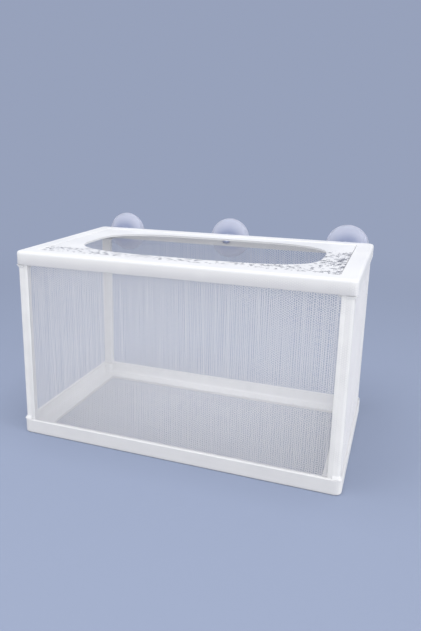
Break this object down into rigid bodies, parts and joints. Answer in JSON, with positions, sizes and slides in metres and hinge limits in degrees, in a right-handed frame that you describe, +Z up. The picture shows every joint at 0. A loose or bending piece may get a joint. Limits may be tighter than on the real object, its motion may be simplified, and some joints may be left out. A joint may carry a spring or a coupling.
{
  "type": "aquarium breeding box",
  "caption": "Hanging net box that keeps young fish apart in an aquarium: white frame, net walls and floor, open-topped cover plate and clear suction cups",
  "frame": {"origin": "centre of the bounding box in plan, on the surface that the base frame rests on", "axes": "+X runs along the box's length to its right, -Y is its front, its suction cups face +Y, +Z is up"},
  "size_m": [0.26, 0.1596, 0.1685],
  "materials": {
    "white_frame": "satin moulded white plastic",
    "net": "fine white plastic net with hexagonal gaps",
    "clear_vinyl": "clear soft vinyl"
  },
  "bodies": {
    "box": {"top_rim": "white_frame", "base_frame": "white_frame", "post_front_left": "white_frame", "post_front_right": "white_frame", "post_back_left": "white_frame", "post_back_right": "white_frame", "net_front": "net", "net_back": "net", "net_left": "net", "net_right": "net", "net_floor": "net"},
    "cover": {"top_cover": "white_frame"},
    "cup_left": {"suction_cup_left": "clear_vinyl"},
    "cup_centre": {"suction_cup_centre": "clear_vinyl"},
    "cup_right": {"suction_cup_right": "clear_vinyl"}
  },
  "joints": [
    {"name": "cover_lift", "type": "slide", "parent": "box", "child": "cover", "axis": [0, 0, 1], "range_m": [0, 0.04]},
    {"name": "cup_left_turn", "type": "hinge", "parent": "box", "child": "cup_left", "pos_m": [-0.107, 0.07025, 0.15], "axis": [0, 1, 0], "continuous": true},
    {"name": "cup_centre_turn", "type": "hinge", "parent": "box", "child": "cup_centre", "pos_m": [0, 0.07025, 0.15], "axis": [0, 1, 0], "continuous": true},
    {"name": "cup_right_turn", "type": "hinge", "parent": "box", "child": "cup_right", "pos_m": [0.107, 0.07025, 0.15], "axis": [0, 1, 0], "continuous": true}
  ]
}
